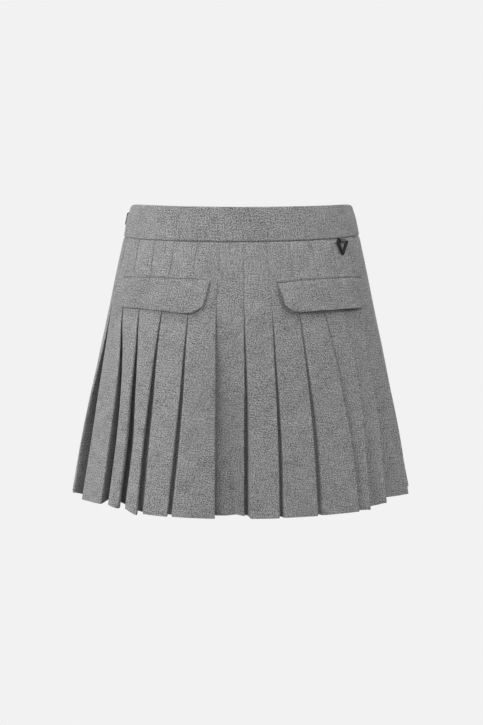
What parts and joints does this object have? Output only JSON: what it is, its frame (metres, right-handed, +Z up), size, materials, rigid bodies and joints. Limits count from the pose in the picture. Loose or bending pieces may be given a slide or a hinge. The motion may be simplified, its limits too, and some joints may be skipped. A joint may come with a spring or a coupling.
{
  "type": "pleated skirt",
  "caption": "Short knife-pleated wool skirt with a contoured waistband, pocket flaps, a concealed side zip and a triangular ring on a tape loop, held open as when worn.",
  "frame": {"origin": "centre of the waist opening, level with the mean height of the waistband's upper edge", "axes": "+Z up towards the waist, -Y towards the side with the pocket flaps, +X at the right of someone who looks at that side"},
  "size_m": [0.4187, 0.304, 0.3663],
  "materials": {
    "wool_flannel": "brushed wool flannel in a grey melange, matt",
    "black_tape": "woven black tape, matt",
    "black_metal": "black coated metal, satin"
  },
  "bodies": {
    "garment": {"skirt_front": "wool_flannel", "skirt_back": "wool_flannel", "waistband_front": "wool_flannel", "waistband_back": "wool_flannel", "flap_left": "wool_flannel", "flap_right": "wool_flannel", "ring_tape": "black_tape", "zip_slider": "black_metal"},
    "ring": {"triangle_ring": "black_metal"},
    "zip_tab": {"zip_pull": "black_metal"}
  },
  "joints": [
    {"name": "ring_swing", "type": "hinge", "parent": "garment", "child": "ring", "pos_m": [0.12164, -0.0599, -0.03546], "axis": [-0.7232, -0.6852, 0.0861], "range_deg": [0, 150]},
    {"name": "zip_tab_lift", "type": "hinge", "parent": "garment", "child": "zip_tab", "pos_m": [-0.14095, 0, -0.00584], "axis": [0, 1, 0], "range_deg": [0, 150]}
  ]
}
